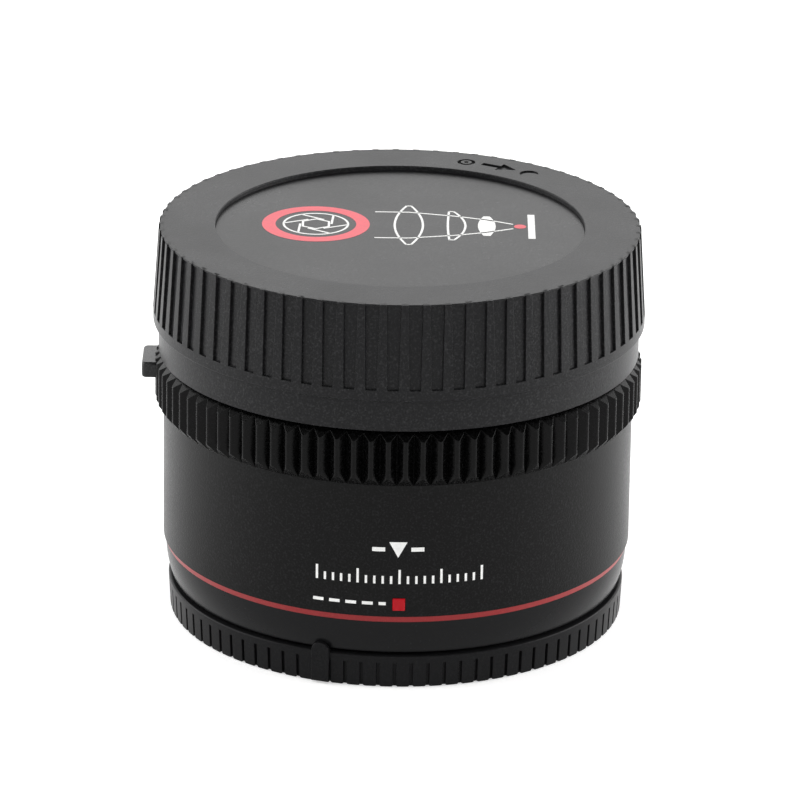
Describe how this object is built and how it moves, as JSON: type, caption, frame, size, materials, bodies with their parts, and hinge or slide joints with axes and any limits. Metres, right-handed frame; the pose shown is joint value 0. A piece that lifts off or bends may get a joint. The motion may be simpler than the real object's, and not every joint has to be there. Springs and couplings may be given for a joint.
{
  "type": "camera teleconverter",
  "caption": "Round optical teleconverter for a mirrorless camera, standing on its rear cap, with a ribbed deep front cap, fluted ring, release tab and bayonet mounts.",
  "frame": {"origin": "on the optical axis at the bottom (camera-side) cap's flat resting face", "axes": "+Z along the optical axis to the lens side, -Y the side with the red index mark, -X the side with the release tab"},
  "size_m": [0.0711, 0.0696, 0.0569],
  "materials": {
    "cap_plastic": "fine textured black polycarbonate",
    "insert_print": null,
    "barrel_paint": "matt black paint on aluminium",
    "grip_anodised": "black anodised fluted aluminium",
    "accent_paint": "red painted ring",
    "collar_plastic": "semi-gloss black polycarbonate",
    "index_red": "red enamel bead",
    "lever_black": "black moulded tab",
    "mount_chrome": "chromed brass, turned",
    "screw_steel": "steel screw",
    "black_screw": "blackened steel screw",
    "shim_brass": "brass shim foil",
    "spring_steel": "spring steel",
    "pin_steel": "ground steel pin",
    "seal_rubber": "black rubber seal",
    "baffle_black": "matt black light mask",
    "contact_plastic": "black contact block",
    "contact_gold": "gold plated contacts",
    "tube_black": "black anodised turned aluminium",
    "chassis_alloy": "die cast magnesium alloy",
    "board_green": "green solder mask",
    "chip_black": "chip packages",
    "flex_amber": "polyimide flat cable",
    "optical_glass": "coated optical glass"
  },
  "bodies": {
    "converter": {"rear_bayonet": "mount_chrome", "rear_mount_screws": "screw_steel", "rear_shim": "shim_brass", "mount_seal": "seal_rubber", "rear_baffle": "baffle_black", "baffle_screws": "black_screw", "rear_contact_block": "contact_plastic", "rear_contact_pads": "contact_gold", "rear_contact_screws": "black_screw", "rear_collar": "collar_plastic", "accent_ring": "accent_paint", "main_barrel": "barrel_paint", "index_mark": "index_red", "grip_ring": "grip_anodised", "chassis": "chassis_alloy", "chassis_screws": "screw_steel", "lens_tube": "tube_black", "lens_tube_screws": "black_screw", "front_retainer": "tube_black", "front_spacer": "tube_black", "rear_spacer": "tube_black", "rear_retainer": "tube_black", "main_board": "board_green", "board_chips": "chip_black", "board_screws": "screw_steel", "front_flex": "flex_amber", "rear_flex": "flex_amber", "front_bayonet": "mount_chrome", "front_mount_screws": "screw_steel", "front_shim": "shim_brass", "claw_springs": "spring_steel", "front_contact_block": "contact_plastic", "front_contact_screws": "black_screw", "lever_guide_screw": "black_screw", "lock_pin_spring": "spring_steel", "lock_bracket": "spring_steel", "lock_bracket_screws": "screw_steel", "element_1": "optical_glass", "element_2": "optical_glass", "element_3": "optical_glass", "element_4": "optical_glass", "element_5": "optical_glass", "element_6": "optical_glass", "element_7": "optical_glass", "element_8": "optical_glass"},
    "top_cap": {"front_cap": "cap_plastic", "cap_tube": "cap_plastic", "cap_insert": "insert_print"},
    "bottom_cap": {"rear_cap": "cap_plastic"},
    "release_lever": {"release_lever": "lever_black"},
    "lock_pin": {"lock_pin": "pin_steel"},
    "contact_pins": {"front_contact_pins": "contact_gold"}
  },
  "joints": [
    {"name": "top_cap_lift", "type": "slide", "parent": "converter", "child": "top_cap", "axis": [0, 0, 1], "range_m": [0, 0.03]},
    {"name": "bottom_cap_pull", "type": "slide", "parent": "converter", "child": "bottom_cap", "axis": [0, 0, -1], "range_m": [0, 0.012]},
    {"name": "release_lever_turn", "type": "hinge", "parent": "converter", "child": "release_lever", "pos_m": [0, 0, 0.0355], "axis": [0, 0, -1], "range_deg": [0, 10], "stiffness_Nm_per_rad": 0.002, "springref_deg": -11.46},
    {"name": "lock_pin_slide", "type": "slide", "parent": "converter", "child": "lock_pin", "axis": [0, 0, -1], "range_m": [0, 0.0016], "deforming": ["lock_pin_spring"]},
    {"name": "contact_pins_press", "type": "slide", "parent": "converter", "child": "contact_pins", "axis": [0, 0, -1], "range_m": [0, 0.0005], "stiffness_N_per_m": 60, "springref_m": -0.0005}
  ],
  "couplings": [
    {"joint": "release_lever_turn", "follows": "lock_pin_slide", "rad_per_m": 109.08}
  ]
}
